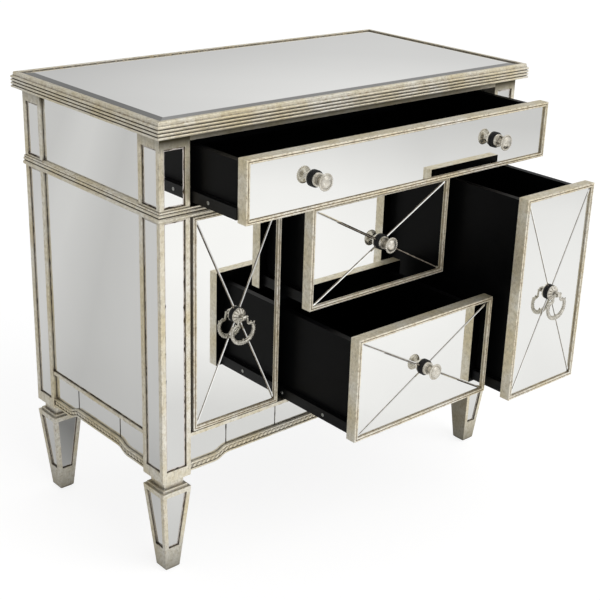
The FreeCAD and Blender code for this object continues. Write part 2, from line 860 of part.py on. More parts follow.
channels = []
for drawer_name, d in drawers.items():
    (front_x0, front_x1), (front_z0, front_z1) = d["xs"], d["zs"]
    pull_z = (front_z0 + front_z1) / 2
    pull_xs = d["knob_xs"] or ((front_x0 + front_x1) / 2,)
    pulls = [(pull_x, pull_z) for pull_x in pull_xs]
    box_x0, box_x1 = d["carriers"][0] + runner_room, d["carriers"][1] - runner_room
    box_z0, box_z1 = front_z0 + box_lift, front_z1 - d["drop"]
    pieces = {
        "front": [drawer_front(front_x0, front_x1, front_z0, front_z1, pulls)],
        "mirror": drawer_panes(front_x0, front_x1, front_z0, front_z1, d["crossed"], pulls),
        "box": drawer_box(box_x0, box_x1, box_z0, box_z1),
        "rails": drawer_rails(box_x0, box_x1, box_z0),
        "washers": [washer(*pull) for pull in pulls],
    }
    if d["knob_xs"]:
        pieces["knobs"] = [knob(*pull) for pull in pulls]
    else:
        pieces["rosette"] = [rosette(*pull) for pull in pulls]
        pieces["ring"] = [pull_ring(*pull) for pull in pulls]
    for piece_name, solids in pieces.items():
        write(drawer_name + "_drawer_" + piece_name, [opened(solid, d["rest"]) for solid in solids])
    channels.append(case_channel(d["carriers"][0], 1, box_z0))
    channels.append(case_channel(d["carriers"][1], -1, box_z0))
write("case_runners", channels)
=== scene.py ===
import math

import bmesh
import bpy
from mathutils import Matrix, Vector, noise


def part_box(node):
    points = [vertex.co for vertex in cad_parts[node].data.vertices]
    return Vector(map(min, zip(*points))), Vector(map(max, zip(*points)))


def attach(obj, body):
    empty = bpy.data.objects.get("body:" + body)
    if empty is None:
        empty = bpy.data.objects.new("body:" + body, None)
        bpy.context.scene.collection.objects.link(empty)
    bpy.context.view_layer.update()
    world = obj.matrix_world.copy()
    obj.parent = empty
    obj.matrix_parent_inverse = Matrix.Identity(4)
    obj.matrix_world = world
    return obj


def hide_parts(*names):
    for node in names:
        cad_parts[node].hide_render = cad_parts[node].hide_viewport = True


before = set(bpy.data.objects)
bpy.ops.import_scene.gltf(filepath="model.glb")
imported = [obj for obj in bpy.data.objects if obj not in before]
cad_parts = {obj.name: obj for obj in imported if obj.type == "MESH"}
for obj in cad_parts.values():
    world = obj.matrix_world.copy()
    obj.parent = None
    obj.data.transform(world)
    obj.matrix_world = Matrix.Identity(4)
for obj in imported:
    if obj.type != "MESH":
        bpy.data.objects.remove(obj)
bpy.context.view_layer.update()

mm = 0.001


# Boards of the case: side panels, waist panel, middle shelf, dividers, bottom, back, and the board under the
# top's glass. They are fibreboard with a thin coat of black lacquer, dowelled and glued between the posts.

class Finish:
    """A surface finish, built up from nodes round one main shader."""

    def __init__(self, owner, main="Principled BSDF"):
        owner.use_nodes = True
        self.owner = owner
        self.tree = owner.node_tree
        self.coat = self.tree.nodes[main]
        self.place = self.node("TexCoord").outputs["Object"]

    def set(self, node, inputs):
        """Gives a node's inputs numbers, colours or the outputs of other nodes."""
        for name, value in inputs.items():
            if isinstance(value, bpy.types.NodeSocket):
                self.tree.links.new(value, node.inputs[name])
            else:
                node.inputs[name].default_value = value

    def node(self, kind, inputs=None, **settings):
        made = self.tree.nodes.new("ShaderNode" + kind)
        for name, value in settings.items():
            setattr(made, name, value)
        self.set(made, inputs or {})
        return made

    def cloud(self, size, stretch=(1, 1, 1), detail=2):
        """A cloudy pattern with lumps about size across, longer along an axis whose stretch is small."""
        drawn_out = self.node("Mapping", {"Vector": self.place, "Scale": stretch}).outputs[0]
        inputs = {"Vector": drawn_out, "Scale": 1 / size, "Detail": detail, "Roughness": 0.6}
        return self.node("TexNoise", inputs).outputs["Fac"]

    def span(self, value, low, high, to_low=0, to_high=1):
        """Spreads what lies between low and high over another range."""
        return self.node("MapRange", {0: value, 1: low, 2: high, 3: to_low, 4: to_high}).outputs[0]

    def times(self, first, second):
        return self.node("Math", {0: first, 1: second}, operation="MULTIPLY").outputs[0]

    def blend(self, share, first, second):
        """A colour between two others."""
        return self.node("Mix", {0: share, 6: first, 7: second}, data_type="RGBA").outputs[2]

    def relief(self, height, depth, strength=1.0):
        """Raises and lowers the surface a little."""
        bump = self.node("Bump", {"Height": height, "Distance": depth, "Strength": strength})
        self.set(self.coat, {"Normal": bump.outputs[0]})


def tone(code):
    """A colour from its six-figure code, as the shaders count it."""
    parts = [int(code[at:at + 2], 16) / 255 for at in (1, 3, 5)]
    return [((part + 0.055) / 1.055) ** 2.4 if part > 0.04045 else part / 12.92 for part in parts] + [1]


def dress(node, finish, ease=0.0):
    """Gives a CAD piece its finish, and eases the sharp edges of a single solid."""
    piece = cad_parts[node]
    piece.data.materials.clear()
    piece.data.materials.append(finish.owner)
    if ease:
        piece.modifiers.new("seams", "WELD").merge_threshold = 0.001 * mm
        flats = piece.modifiers.new("flats", "DECIMATE")
        flats.decimate_type = "DISSOLVE"
        flats.angle_limit = math.radians(0.5)
        edges = piece.modifiers.new("eased edges", "BEVEL")
        edges.width = ease
        edges.segments = 2
        edges.limit_method = "ANGLE"
        edges.angle_limit = math.radians(40)
        piece.modifiers.new("shading", "WEIGHTED_NORMAL")


lacquer = Finish(bpy.data.materials.new("black_lacquer"))
lacquer_mottle = lacquer.cloud(40 * mm)
lacquer.set(lacquer.coat, {
    "Base Color": lacquer.blend(lacquer_mottle, tone("#070708"), tone("#0d0e0f")),
    "Roughness": lacquer.span(lacquer_mottle, 0.3, 0.7, 0.37, 0.42),
    "Specular IOR Level": 0.07,
})
lacquer.relief(lacquer.cloud(1.5 * mm), 0.02 * mm)

board_arris = 0.6 * mm
for board in ("top_board", "side_panel_left", "side_panel_right", "waist_panel", "middle_shelf",
              "divider_left", "divider_right", "bottom_panel", "back_panel"):
    dress(board, lacquer, board_arris)


# Posts and top rail: square hardwood posts with sunk panels, and the rail between them over the wide drawer.
# Silver leaf is laid over brown bole, toned with straw varnish, rubbed through and chipped on the edges, and
# waxed dark in the corners. The leaf also carries painted light: shade in its corners and under the top,
# and a pale highlight along its edges.

def leaf_finish(name, stretch, darkening_spans=(), front=False, open_corner=0.83, painted_shade_inside=0):
    """Silver leaf, with streaks that are long where stretch is small, and a painted highlight on its edges.
    The spans of height hold where it gets dark, with how dark to the front and to the sides; under the top
    this is painted shadow. Corners less open than open_corner hold wax and painted shade, and faces turned
    to the chest's middle may get painted shade. A drawer front has smoother leaf with less wax and shade,
    and a black back."""
    leaf = Finish(bpy.data.materials.new(name))
    broad = leaf.cloud(90 * mm, detail=3)
    fine = leaf.cloud(7 * mm, detail=5)
    streaks = leaf.cloud(1.6 * mm, stretch, detail=3)
    flecks = leaf.cloud(2.2 * mm, detail=1)
    colour = leaf.blend(leaf.span(broad, 0.35, 0.65), tone("#e4d8b8"), tone("#f2eee2"))
    colour = leaf.blend(leaf.span(fine, 0.42, 0.72, 0, 0.5), colour, tone("#b9ab85"))
    colour = leaf.blend(leaf.span(streaks, 0.54, 0.7, 0, 0.4), colour, tone("#6a6149"))
    soft = leaf.node("Bevel", {"Radius": 1.5 * mm}, samples=6).outputs[0]
    straight = leaf.node("NewGeometry").outputs["Normal"]
    turn = leaf.node("VectorMath", {0: soft, 1: straight}, operation="DOT_PRODUCT").outputs["Value"]
    edge = leaf.span(turn, 0.985, 0.87)
    chips = leaf.span(flecks, 0.62, 0.69, 0, 0.4 if front else 0.85)
    chips = leaf.times(chips, leaf.span(edge, 0, 1, 0.4, 1))
    colour = leaf.blend(chips, colour, tone("#40382b"))
    # Painted highlight: a pale cream line along every edge.
    colour = leaf.blend(leaf.times(edge, 0.6), colour, tone("#f7f2e6"))
    colour = leaf.blend(leaf.times(edge, leaf.span(fine, 0.5, 0.6, 0, 0.85)), colour, tone("#7d5a3c"))
    # Painted shade: leaf that nearby parts shelter is darkened towards a dull olive.
    shelter = leaf.node("AmbientOcclusion", {"Distance": 45 * mm}, samples=6).outputs["AO"]
    colour = leaf.blend(leaf.span(shelter, 0.8, 0.35, 0, 0.2), colour, tone("#665f47"))
    # Dark wax and painted shade: corners, creases and narrow gaps go dark and lose their metal.
    corner = leaf.node("AmbientOcclusion", {"Distance": 10 * mm}, samples=8).outputs["AO"]
    wax_and_shade = leaf.span(corner, open_corner, open_corner - 0.4, 0, 0.4 if front else 1)
    wax_and_shade = leaf.times(wax_and_shade, leaf.span(fine, 0.64, 0.5, 0.5, 1))
    wax = leaf.blend(leaf.span(fine, 0.4, 0.65), tone("#221c13"), tone("#4a3422"))
    colour = leaf.blend(wax_and_shade, colour, wax)
    metal = leaf.span(wax_and_shade, 0, 1, 0.6, 0.1)
    place = leaf.node("SeparateXYZ", {0: leaf.place}).outputs
    faces = leaf.node("SeparateXYZ", {0: straight}).outputs
    sideways = leaf.node("Math", {0: faces["X"]}, operation="ABSOLUTE").outputs[0]
    # Darker over spans of height; under the top moulding this is painted shadow, strongest on the front.
    for clean, dark, to_front, to_side in darkening_spans:
        darkened = leaf.span(sideways, 0.3, 0.7, to_front, to_side)
        darkened = leaf.times(darkened, leaf.span(place["Z"], clean, dark))
        colour = leaf.blend(darkened, colour, tone("#494330"))
    # Painted shade on faces turned to the chest's middle, as under the chest.
    if painted_shade_inside:
        side = leaf.node("Math", {0: place["X"]}, operation="SIGN").outputs[0]
        inside = leaf.span(leaf.times(side, faces["X"]), -0.5, -0.9, 0, painted_shade_inside)
        colour = leaf.blend(inside, colour, tone("#3a3527"))
    if front:
        bare = leaf.span(faces["Y"], 0.6, 0.9)
        colour = leaf.blend(bare, colour, tone("#0a0a0b"))
        metal = leaf.times(metal, leaf.span(bare, 0, 1, 1, 0))
        leaf.set(leaf.coat, {"Specular IOR Level": leaf.span(bare, 0, 1, 0.5, 0.1)})
    leaf.set(leaf.coat, {
        "Base Color": colour,
        "Metallic": metal,
        "Roughness": leaf.span(fine, 0.3, 0.7, 0.34, 0.5),
    })
    leaf.relief(streaks, 0.04 * mm)
    return leaf


under_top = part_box("top_moulding")[0].z
post_arris = 0.8 * mm
# Painted shadow under the overhang of the top moulding.
post_painted_shadow = [(under_top - 32 * mm, under_top - 10 * mm, 1, 0.4)]
upright_leaf = leaf_finish("silver_leaf_upright", (1, 1, 0.08), post_painted_shadow)
for post in ("post_front_left", "post_front_right", "post_back_left", "post_back_right"):
    dress(post, upright_leaf, post_arris)
rail_arris = 0.6 * mm
# Painted shadow under the top moulding.
rail_painted_shadow = [(under_top - 25 * mm, under_top - 6 * mm, 0.9, 0.9)]
rail_leaf = leaf_finish("silver_leaf_rail", (0.06, 1, 1), rail_painted_shadow)
dress("top_rail", rail_leaf, rail_arris)

case_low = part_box("post_front_left")[0]
case_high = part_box("post_back_right")[1]
case_middle = (case_low + case_high) / 2
post_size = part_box("post_front_left")[1].x - case_low.x


# Feet: tapered and bolted up under the posts through a narrow neck. They are leafed like the posts, with
# painted shade on the faces turned in under the chest, and the leaf darker towards the floor, most on the
# chamfer round each sole. The bolts are black steel and hidden.

foot_arris = 0.7 * mm
# The leaf gets darker towards the floor, most of all on the chamfer round each sole.
foot_darker_low = [(80 * mm, 6 * mm, 0.6, 0.4), (6 * mm, 2 * mm, 0.8, 0.8)]
foot_leaf = leaf_finish("silver_leaf_feet", (1, 1, 0.12), foot_darker_low, open_corner=0.9, painted_shade_inside=0.55)
dress("feet", foot_leaf, foot_arris)

steel = Finish(bpy.data.materials.new("black_steel"))
steel_wear = steel.cloud(2 * mm, (1, 0.02, 1), detail=4)
steel.set(steel.coat, {
    "Base Color": steel.blend(steel.span(steel_wear, 0.5, 0.8), tone("#0c0d0e"), tone("#222426")),
    "Metallic": 0.4,
    "Roughness": steel.span(steel_wear, 0.3, 0.7, 0.34, 0.5),
    "Specular IOR Level": 0.25,
})
steel.relief(steel_wear, 0.02 * mm)
dress("foot_bolts", steel)


# Mirror glass: a bevelled sheet on top, plain strips in the posts and feet, panes on the sides, and tiles
# on the aprons, all glued down. The silver is on the back of the glass, so a plain pane's is seen two
# thirds of the way down. The side panes are silvered nearly to the front.

def loose_parts(shape):
    """The separate solids of a shape, each as a list of its corners."""
    seen = set()
    parts = []
    for start in shape.verts:
        if start in seen:
            continue
        seen.add(start)
        part = [start]
        for corner in part:
            for edge in corner.link_edges:
                other = edge.other_vert(corner)
                if other not in seen:
                    seen.add(other)
                    part.append(other)
        parts.append(part)
    return parts


def add_piece(name, shape, finish, body, stands_for=(), crease=35):
    """Makes a built shape into a piece that rides on a body and stands for CAD nodes."""
    bmesh.ops.recalc_face_normals(shape, faces=shape.faces)
    mesh = bpy.data.meshes.new(name)
    shape.to_mesh(mesh)
    shape.free()
    mesh.materials.append(finish.owner)
    mesh.shade_smooth()
    mesh.set_sharp_from_angle(angle=math.radians(crease))
    piece = bpy.data.objects.new(name, mesh)
    bpy.context.scene.collection.objects.link(piece)
    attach(piece, body)
    if stands_for:
        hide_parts(*stands_for)
    return piece


glass_index = 1.5
bevel_lift = 1 / 4


def facing(part):
    """The way that a pane faces: across its thin side, and away from the inside of the case."""
    spans = []
    for axis in range(3):
        places = [corner.co[axis] for corner in part]
        spans.append((max(places) - min(places), axis))
    thin = min(spans)[1]
    away = Vector((0, 0, 0))
    away[thin] = (1 if part[0].co.x > 0 else -1, -1, 1)[thin]
    return away


def silvered_panes(node, body, sunk=1 / glass_index):
    """Stands for a node of panes: the silver of each, sunk where it is seen, with bevels that look three
    quarters as deep. Gives each pane's outline and the way it faces."""
    shape = bmesh.new()
    shape.from_mesh(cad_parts[node].data)
    bmesh.ops.remove_doubles(shape, verts=shape.verts, dist=0.05 * mm)
    bmesh.ops.dissolve_limit(shape, angle_limit=math.radians(0.5), verts=shape.verts, edges=shape.edges)
    outlines = []
    for part in loose_parts(shape):
        away = facing(part)
        faces = [face for face in shape.faces if face.verts[0] in part and face.normal.dot(away) > 0.95]
        front = max(faces, key=lambda face: face.calc_area())
        out = front.normal.copy()
        back = min(corner.co.dot(out) for corner in part)
        thickness = max(corner.co.dot(out) for corner in part) - back
        for corner in part:
            level = corner.co.dot(out) - back
            bevel_drop = thickness - level if level > thickness / 2 else 0
            corner.co += out * (bevel_drop * bevel_lift - min(level, thickness * sunk))
        outlines.append(([corner.co.copy() for corner in front.verts], out))
    panes = add_piece(node + "_silvered", shape, mirror, body, [node], crease=1)
    panes.data.attributes.remove(panes.data.attributes["custom_normal"])
    return outlines


mirror = Finish(bpy.data.materials.new("mirror_glass"))
mirror_film = mirror.cloud(140 * mm)
mirror_smears = mirror.cloud(45 * mm, detail=4)
mirror.set(mirror.coat, {
    "Base Color": mirror.blend(mirror_film, tone("#f2f2ef"), tone("#f6f6f3")),
    "Metallic": 1,
    "Roughness": mirror.span(mirror_smears, 0.45, 0.85, 0.006, 0.03),
})

dress("top_mirror", mirror)
post_outlines = silvered_panes("post_mirrors", "case")
foot_outlines = silvered_panes("foot_mirrors", "case")
side_outlines = silvered_panes("side_mirrors", "case", sunk=0.1)
tile_outlines = silvered_panes("apron_tiles", "case")


# Sight lines: where glass meets leafed wood, dark wax is rubbed into the corner by hand, so the line round
# each pane is uneven. It is a low fillet of wax that lies on the glass, and its darkness is also painted
# shade for that corner. The post and foot panes also get a pale band inside it, a painted reflection of
# the leafed wall beside them, where a ground edge would be.

tucked = -0.2
bedded = -0.05


def skin(shape, rows, closed=False):
    """Covers rows of corners with faces. A run that isn't closed gets a face at each end."""
    pairs = list(zip(rows, rows[1:]))
    if closed:
        pairs.append((rows[-1], rows[0]))
    else:
        shape.faces.new(rows[0])
        shape.faces.new(rows[-1])
    for row, following in pairs:
        for near in range(len(row)):
            far = (near + 1) % len(row)
            shape.faces.new([row[near], row[far], following[far], following[near]])


def run_round(shape, outline, out, section, pooled=1):
    """Runs a section of (inwards, off the glass, raggedness) points, in millimetres, round a pane's edge.
    Wax is pooled wider along the lower edge."""
    step = 3 * mm
    long_wave = 13 * mm
    short_wave = 4 * mm
    thinnest = -0.45
    count = len(outline)
    runs = [outline[(index + 1) % count] - outline[index] for index in range(count)]
    inward = [out.cross(run).normalized() for run in runs]
    mitres = [(inward[i - 1] + inward[i]) / (1 + inward[i - 1].dot(inward[i])) for i in range(count)]
    rows = []
    for index, run in enumerate(runs):
        steps = max(1, round(run.length / step))
        widen = pooled if inward[index].z > 0.7 else 1
        for station in range(steps):
            share = station / steps
            edge = outline[index] + run * share
            lean = mitres[index].lerp(mitres[(index + 1) % count], share)
            uneven = noise.noise(edge / long_wave) + 0.6 * noise.noise(edge / short_wave)
            uneven = max(thinnest, uneven) * min(1, 5 * share, 5 * (1 - share))
            row = []
            for across, height, ragged in section:
                inwards = lean * (across * widen) + inward[index] * (ragged * uneven)
                row.append(shape.verts.new(edge + (inwards + out * height) * mm))
            rows.append(row)
    skin(shape, rows, closed=True)


def sight_lines(name, outlines, body, wide, pooled=1):
    """Wax of a width in millimetres round each pane, tucked under the wood and bedded on the glass."""
    ragged = 2.0 * wide
    section = [(tucked, bedded, 0), (tucked, 0.6, 0), (wide, 0.15, ragged), (wide, bedded, ragged)]
    shape = bmesh.new()
    for outline, out in outlines:
        run_round(shape, outline, out, section, pooled)
    add_piece(name, shape, dark_wax_and_shade, body)


def pale_reflection_bands(name, outlines, body, start, end):
    """Painted reflection: a pale band round each pane, between two distances in millimetres from the wood.
    """
    stand = 0.08
    ragged = 0.25
    section = [(start, bedded, 0), (start, stand, 0), (end, stand, ragged), (end, bedded, ragged)]
    shape = bmesh.new()
    for outline, out in outlines:
        run_round(shape, outline, out, section)
    add_piece(name, shape, painted_reflection_band, body)


def wax_finish(name, dark, pale):
    wax = Finish(bpy.data.materials.new(name))
    mottle = wax.cloud(9 * mm, detail=4)
    wax.set(wax.coat, {
        "Base Color": wax.blend(wax.span(mottle, 0.4, 0.7), tone(dark), tone(pale)),
        "Roughness": wax.span(mottle, 0.3, 0.7, 0.5, 0.7),
        "Specular IOR Level": 0.2,
    })
    wax.relief(wax.cloud(2 * mm), 0.05 * mm)
    return wax


# Dark wax round the panes, which also paints the shade in each corner.
dark_wax_and_shade = wax_finish("dark_wax_and_shade", "#1f1b16", "#544531")
# Pale band round post and foot panes: a painted reflection of the leafed wall.
painted_reflection_band = Finish(bpy.data.materials.new("painted_reflection_band"))
pale_band_mottle = painted_reflection_band.cloud(3 * mm, detail=4)
painted_reflection_band.set(painted_reflection_band.coat, {
    "Base Color": painted_reflection_band.blend(pale_band_mottle, tone("#d6d0cb"), tone("#aaa198")),
    "Roughness": painted_reflection_band.span(pale_band_mottle, 0.3, 0.7, 0.4, 0.6),
})
painted_reflection_band.relief(pale_band_mottle, 0.05 * mm)

sight_lines("post_sight_lines", post_outlines, "case", wide=1.25)
pale_reflection_bands("post_ground_edges", post_outlines, "case", start=0.9, end=3.0)
sight_lines("foot_sight_lines", foot_outlines, "case", wide=0.6, pooled=2.6)
pale_reflection_bands("foot_ground_edges", foot_outlines, "case", start=0.5, end=1.9)
sight_lines("side_sight_lines", side_outlines, "case", wide=1.2)
sight_lines("apron_sight_lines", tile_outlines, "case", wide=0.4)


# Top moulding: four mitred rails of leafed hardwood, glued round the top board. Each has a thin ledge over
# a band of four reeds with a narrow quirk over each, and a rebate that the top's glass lies in.

def half_round(outward, low, high, bulge, points=9):
    """The points of a reed that stands out by bulge, going up."""
    rise = (high - low) / 2
    ball = (rise ** 2 + bulge ** 2) / (2 * bulge)
    reach = math.acos((ball - bulge) / ball)
    made = []
    for index in range(points):
        turn = reach * (2 * index / (points - 1) - 1)
        made.append((outward + bulge - ball * (1 - math.cos(turn)), low + rise + ball * math.sin(turn)))
    return made


def run_moulding(shape, section, corners, closed):
    """Runs a section of (outwards, upwards) points along straight lengths, mitred at the corners. Hand
    scraping leaves the lengths a hair uneven."""
    step = 22 * mm
    uneven = 0.15 * mm
    wave = 60 * mm
    count = len(corners)
    lengths = count if closed else count - 1
    runs = [corners[(index + 1) % count] - corners[index] for index in range(lengths)]
    outward = [run.cross(Vector((0, 0, 1))).normalized() for run in runs]

    def mitre(index):
        before = outward[index - 1] if closed or index > 0 else outward[0]
        after = outward[index % lengths] if closed or index < lengths else outward[-1]
        return (before + after) / (1 + before.dot(after))

    rows = []
    for index, run in enumerate(runs):
        steps = round(run.length / step)
        last = 1 if not closed and index == lengths - 1 else 0
        for station in range(steps + last):
            share = station / steps
            base = corners[index] + run * share
            lean = mitre(index).lerp(mitre(index + 1), share)
            base = base + outward[index] * (uneven * noise.noise(base / wave))
            rows.append([shape.verts.new(base + lean * u + Vector((0, 0, z))) for u, z in section])
    skin(shape, rows, closed)


level_leaf = leaf_finish("silver_leaf_level", (0.06, 0.06, 1))
top_low, top_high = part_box("top_moulding")
glass_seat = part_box("top_board")[1].z - top_low.z
moulding_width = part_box("top_board")[0].x - top_low.x
top_height = top_high.z - top_low.z
reed_count = 4
reed_bulge = 2.3 * mm
reed_pitch = 5.9 * mm
reed_drop = 1.6 * mm
quirk_width = 1.0 * mm
quirk_depth = 0.7 * mm
drip_width = 12 * mm
ledge_back = 3.7 * mm
ledge_slope = 0.2 * mm
ledge_round = 2 * mm
ledge_steps = 4
rim_width = 8 * mm
arris = 0.6 * mm

top_section = [(-moulding_width, 0), (-drip_width, 0), (-drip_width, -reed_drop)]
for reed in range(reed_count):
    reed_low = reed * reed_pitch - reed_drop
    reed_top = reed_low + reed_pitch - quirk_width
    quirk = -reed_bulge - quirk_depth
    top_section += half_round(-reed_bulge, reed_low, reed_top, reed_bulge)
    top_section += [(quirk, reed_top), (quirk, reed_top + quirk_width)]
rim_inner = -ledge_back - rim_width
top_section.append((-ledge_back, reed_top + quirk_width + ledge_slope))
for index in range(ledge_steps + 1):
    turn = math.radians(90 * index / ledge_steps)
    across = -ledge_back - ledge_round * (1 - math.cos(turn))
    top_section.append((across, top_height - ledge_round * (1 - math.sin(turn))))
top_section += [(rim_inner + arris, top_height), (rim_inner, top_height - arris)]
top_section += [(rim_inner, glass_seat), (-moulding_width, glass_seat)]

top_corners = [
    Vector((top_low.x, top_low.y, top_low.z)), Vector((top_high.x, top_low.y, top_low.z)),
    Vector((top_high.x, top_high.y, top_low.z)), Vector((top_low.x, top_high.y, top_low.z)),
]
top_shape = bmesh.new()
run_moulding(top_shape, top_section, top_corners, True)
add_piece("reeded_top_moulding", top_shape, level_leaf, "case", ["top_moulding"])


# Belt: a leafed moulding of a fillet over a small and a larger reed, pinned round three sides and mitred
# at the front corners. On the left and right a tongue behind it fills the gap between the upper and the
# lower pane, and laps a little over the upper one.

belt_low, belt_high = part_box("belt_moulding")
belt_height = belt_high.z - belt_low.z
belt_reach = case_low.y - belt_low.y
big_reed = 8.3 * mm
small_low = 9.0 * mm
small_high = 14.2 * mm
small_seat = 1.8 * mm
small_bulge = 2.6 * mm
fillet_low = 14.9 * mm
fillet_slope = 0.3 * mm
fillet_reach = 2.6 * mm
fillet_arris_wide = 0.5 * mm
fillet_arris_high = 0.6 * mm
belt_quirk = 1.4 * mm
belt_section = [(0, 0)]
belt_section += half_round(belt_reach - big_reed / 2, 0, big_reed, big_reed / 2, 11)
belt_section += [(belt_quirk, big_reed), (belt_quirk, small_low)]
belt_section += half_round(small_seat, small_low, small_high, small_bulge)
belt_section += [(belt_quirk, small_high), (belt_quirk, fillet_low)]
belt_section.append((fillet_reach, fillet_low + fillet_slope))
belt_section.append((fillet_reach, belt_height - fillet_arris_high))
belt_section += [(fillet_reach - fillet_arris_wide, belt_height), (0, belt_height)]
belt_path = [
    Vector((case_low.x, case_high.y, belt_low.z)), Vector((case_low.x, case_low.y, belt_low.z)),
    Vector((case_high.x, case_low.y, belt_low.z)), Vector((case_high.x, case_high.y, belt_low.z)),
]
belt_shape = bmesh.new()
run_moulding(belt_shape, belt_section, belt_path, False)
tongue_depth = 9 * mm
tongue_lap = belt_height + 2.4 * mm
tongue_edge = 3 * mm
tongue_arris_wide = 0.8 * mm
tongue_arris_high = 0.5 * mm
tongue_section = [(-tongue_depth, 0), (0, 0), (0, belt_height)]
tongue_section.append((tongue_arris_wide - tongue_edge, tongue_lap - tongue_arris_high))
tongue_section += [(-tongue_edge, tongue_lap), (-tongue_depth, tongue_lap)]
for end_x, ends in ((case_low.x, (case_high.y, case_low.y)), (case_high.x, (case_low.y, case_high.y))):
    first, last = ends
    turn_in = math.copysign(post_size, last - first)
    tongue_path = [Vector((end_x, first + turn_in, belt_low.z)), Vector((end_x, last - turn_in, belt_low.z))]
    run_moulding(belt_shape, tongue_section, tongue_path, False)
add_piece("reeded_belt", belt_shape, level_leaf, "case", ["belt_moulding"])


# Aprons: boards with an ogee lower edge and a thin cap, glued in under the drawers and the side panes. A
# carved trim is glued along the edge: a plain bead, a band of slanted beads on a dark ground, and a plain
# fillet. All of it is leafed.

for apron in ("apron_front", "apron_left", "apron_right"):
    dress(apron, level_leaf)

trim_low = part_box("apron_trim")[0].z
trim_height = 16.5 * mm
trim_back = 9 * mm
ogee_start = 54 * mm
ogee_run = 36 * mm
ogee_rise = 10 * mm
ogee_radius = (ogee_run ** 2 + ogee_rise ** 2) / (4 * ogee_rise)
band_low = 4.0 * mm
band_high = 12.6 * mm
band_ground = 4.4 * mm
bead_pitch = 10.4 * mm
bead_rise = 3.1 * mm
bead_slant = 0.55
bead_half = 0.36


def apron_rise(from_end):
    """How far the apron's lower edge has climbed at a distance from its nearer end."""
    run = min(max(from_end - ogee_start, 0), ogee_run)
    if run <= ogee_run / 2:
        return ogee_radius - math.sqrt(ogee_radius ** 2 - run ** 2)
    left = ogee_run - run
    return ogee_rise - ogee_radius + math.sqrt(ogee_radius ** 2 - left ** 2)


def bead_swell(along, height):
    """How far the carving stands off its ground."""
    middle = (band_low + band_high) / 2
    place = (along - bead_slant * (height - middle)) / bead_pitch
    across = (place - math.floor(place) - 0.5) / bead_half
    upright = (height - middle) / ((band_high - band_low) / 2)
    return bead_rise * math.sqrt(max(0, 1 - across ** 2 - upright ** 2))


low_bead = half_round(outward=6.2 * mm, low=0, high=3.6 * mm, bulge=1.4 * mm, points=5)
high_bead = half_round(outward=5.8 * mm, low=13 * mm, high=trim_height, bulge=1.9 * mm, points=5)
trim_under = [(0, 0)] + low_bead + [(band_ground, band_low)]
trim_band = [band_low + (band_high - band_low) * index / 8 for index in range(1, 8)]
trim_over = [(band_ground, band_high)] + high_bead + [(0, trim_height)]


def carve_trim(shape, half, place):
    """Carves one apron's trim. place puts a point along the apron, off its board and up, in space."""
    step = 0.95 * mm
    steps = round(2 * half / step)
    rows = []
    for station in range(steps + 1):
        along = half * (2 * station / steps - 1)
        base = trim_low + apron_rise(half - abs(along))
        carving = [(band_ground + bead_swell(along, z), z) for z in trim_band]
        section = trim_under + carving + trim_over
        rows.append([shape.verts.new(place(along, out, base + z)) for out, z in section])
    skin(shape, rows)


trim_shape = bmesh.new()
apron_half = case_high.x - post_size
side_apron_half = (case_high.y - case_low.y) / 2 - post_size
carve_trim(trim_shape, apron_half, lambda along, out, z: Vector((along, case_low.y + trim_back - out, z)))
for side in (-1, 1):
    board_x = side * (case_high.x - trim_back)
    carve_trim(trim_shape, side_apron_half,
               lambda along, out, z: Vector((board_x + side * out, case_middle.y + along, z)))
add_piece("carved_apron_trim", trim_shape, level_leaf, "case", ["apron_trim"], crease=60)


# Runners: pressed black steel channels, screwed to the posts and dividers, that the drawers' rails slide in.
# The back panel is held by small pan-head screws round its edge.

def screw_head(shape, at, out, radius, height):
    """A pan head with a cross-shaped slot, standing on at."""
    side = out.orthogonal().normalized()
    up = out.cross(side)

    def ring(size, level, count=20):
        turns = [2 * math.pi * index / count for index in range(count)]
        return [corner(size * math.cos(turn), size * math.sin(turn), level) for turn in turns]

    def corner(across, along, level):
        return shape.verts.new(at + side * across + up * along + out * level)

    def cross(level):
        thin = 0.13 * radius
        long = 0.52 * radius
        outline = [(thin, thin), (thin, long), (-thin, long), (-thin, thin), (-long, thin), (-long, -thin),
                   (-thin, -thin), (-thin, -long), (thin, -long), (thin, -thin), (long, -thin), (long, thin)]
        return [corner(across, along, level) for across, along in outline]

    def walls(low, high):
        for near in range(len(low)):
            far = (near + 1) % len(low)
            shape.faces.new([low[near], low[far], high[far], high[near]])

    seat = ring(radius, -0.1 * mm)
    shoulder = ring(radius, 0.5 * height)
    crown = ring(0.8 * radius, height)
    slot = cross(height)
    slot_floor = cross(0.35 * height)
    walls(seat, shoulder)
    walls(shoulder, crown)
    walls(slot, slot_floor)
    shape.faces.new(seat)
    shape.faces.new(slot_floor)
    rims = []
    for loop in (crown, slot):
        rims += [shape.edges.get((loop[near - 1], loop[near])) for near in range(len(loop))]
    bmesh.ops.triangle_fill(shape, edges=rims, use_beauty=True)


dress("case_runners", steel)
back_low, back_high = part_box("back_panel")
back_screws = bmesh.new()
screw_inset = 14 * mm
screw_rows = 5
screw_columns = 6
back_screw_radius = 3.6 * mm
back_screw_height = 1.6 * mm
screw_span = back_high - back_low - 2 * Vector((screw_inset, 0, screw_inset))
for column in range(screw_columns):
    for row in range(screw_rows):
        if 0 < column < screw_columns - 1 and 0 < row < screw_rows - 1:
            continue
        x = back_low.x + screw_inset + screw_span.x * column / (screw_columns - 1)
        z = back_low.z + screw_inset + screw_span.z * row / (screw_rows - 1)
        at = Vector((x, back_high.y, z))
        screw_head(back_screws, at, Vector((0, 1, 0)), back_screw_radius, back_screw_height)
add_piece("back_panel_screws", back_screws, steel, "case")


